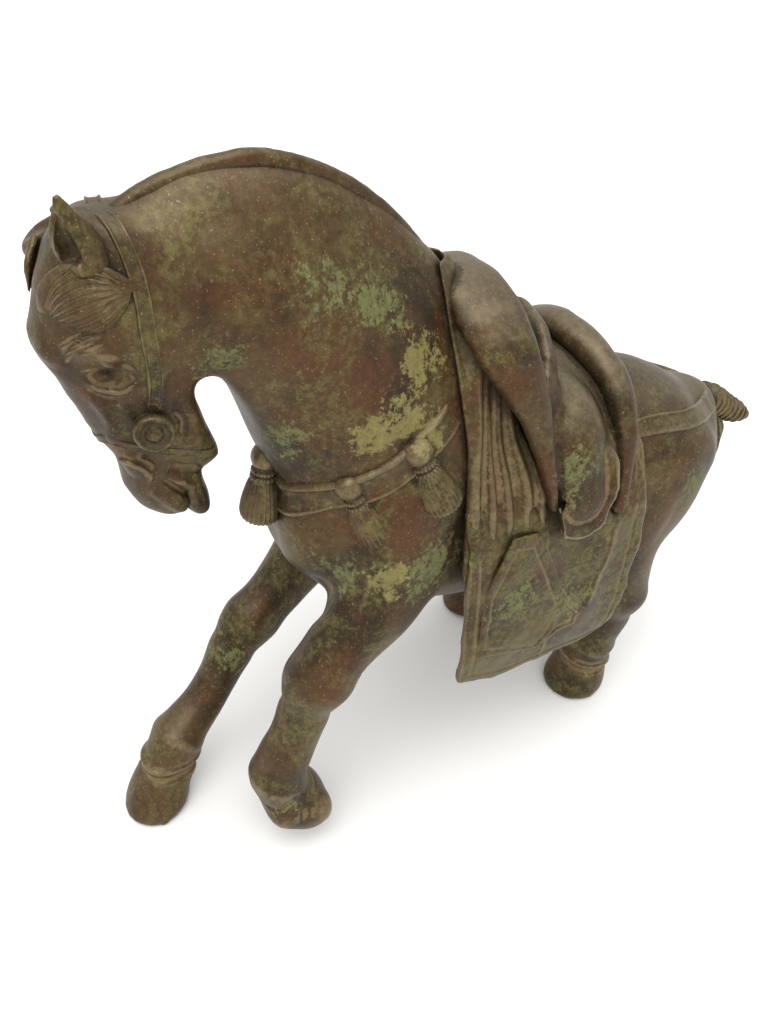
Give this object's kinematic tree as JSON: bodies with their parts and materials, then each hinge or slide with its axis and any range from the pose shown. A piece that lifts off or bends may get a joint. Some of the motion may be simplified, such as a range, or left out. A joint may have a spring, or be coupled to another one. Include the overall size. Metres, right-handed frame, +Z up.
{
  "type": "horse statue",
  "caption": "Cast bronze horse in parade harness, standing with one fore hoof raised and its head tucked in.",
  "frame": {"origin": "on the floor, under the centre of the bounding box", "axes": "+Z up, the horse faces -Y, its left side is +X"},
  "size_m": [0.1232, 0.333, 0.2995],
  "materials": {
    "bronze_skin": "brown bronze with green and yellow-green patina",
    "bronze_legs": "dark brown bronze with green patina",
    "bronze_saddle": "grey-brown bronze, edges rubbed bright",
    "bronze_cloth": "green-brown bronze, tan dust in the folds",
    "bronze_harness": "dusty brown bronze"
  },
  "bodies": {
    "root": {"trunk_shell": "bronze_skin", "belly_plug": "bronze_skin", "neck_shell": "bronze_skin", "head_shell": "bronze_skin", "lower_lip": "bronze_skin", "left_ear": "bronze_skin", "right_ear": "bronze_skin", "forelock_left": "bronze_skin", "forelock_right": "bronze_skin", "mane_roach": "bronze_skin", "left_foreleg": "bronze_legs", "right_foreleg": "bronze_legs", "left_hindleg": "bronze_legs", "right_hindleg": "bronze_legs", "tail_dock": "bronze_skin", "tail_tuft": "bronze_skin", "saddle_pommel": "bronze_saddle", "saddle_cantle": "bronze_saddle", "saddle_seat": "bronze_saddle", "saddle_flap_left": "bronze_saddle", "saddle_flap_right": "bronze_saddle", "blanket_left": "bronze_cloth", "blanket_right": "bronze_cloth", "saddle_cloth_left": "bronze_cloth", "saddle_cloth_right": "bronze_cloth", "front_panel_left": "bronze_cloth", "front_panel_right": "bronze_cloth", "breast_strap": "bronze_harness", "crupper_strap_left": "bronze_harness", "crupper_strap_right": "bronze_harness", "tassel_centre": "bronze_harness", "tassel_left_front": "bronze_harness", "tassel_left_rear": "bronze_harness", "tassel_right_front": "bronze_harness", "tassel_right_rear": "bronze_harness", "noseband": "bronze_harness", "bit_rosette_left": "bronze_harness", "bit_rosette_right": "bronze_harness", "cheek_strap_left": "bronze_harness", "cheek_strap_right": "bronze_harness"}
  },
  "joints": []
}
